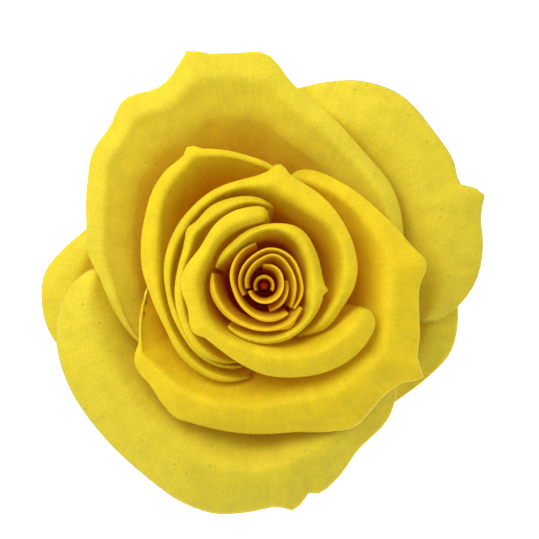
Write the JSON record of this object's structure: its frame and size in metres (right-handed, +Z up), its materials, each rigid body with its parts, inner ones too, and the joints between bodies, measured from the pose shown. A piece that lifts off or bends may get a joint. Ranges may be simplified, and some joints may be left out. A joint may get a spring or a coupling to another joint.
{
  "type": "preserved rose head",
  "caption": "Preserved rose bloom with no stem: spiralled petals on a short cut hip with turned-back sepals, resting bloom up.",
  "frame": {"origin": "centre of the bounding box's base, on the stub's axis at its cut face", "axes": "+Z up through the bloom; +X and +Y across it, as in the view from above"},
  "size_m": [0.0585, 0.0615, 0.0435],
  "materials": {
    "petal": "soft matt petal",
    "heart": "soft matt petal",
    "sepal": "matt leaf",
    "hip": "matt, fibrous where cut"
  },
  "bodies": {
    "root": {"heart_petal": "heart", "heart_spindle": "heart", "hip_and_stub": "hip", "petal_01": "petal", "petal_02": "petal", "petal_03": "petal", "petal_04": "petal", "petal_05": "petal", "petal_06": "petal", "petal_07": "petal", "petal_08": "petal", "petal_09": "petal", "petal_10": "petal", "petal_11": "petal", "petal_12": "petal", "petal_13": "petal", "petal_14": "petal", "petal_15": "petal", "petal_16": "petal", "petal_17": "petal", "sepal_1": "sepal", "sepal_2": "sepal", "sepal_3": "sepal", "sepal_4": "sepal", "sepal_5": "sepal"}
  },
  "joints": []
}
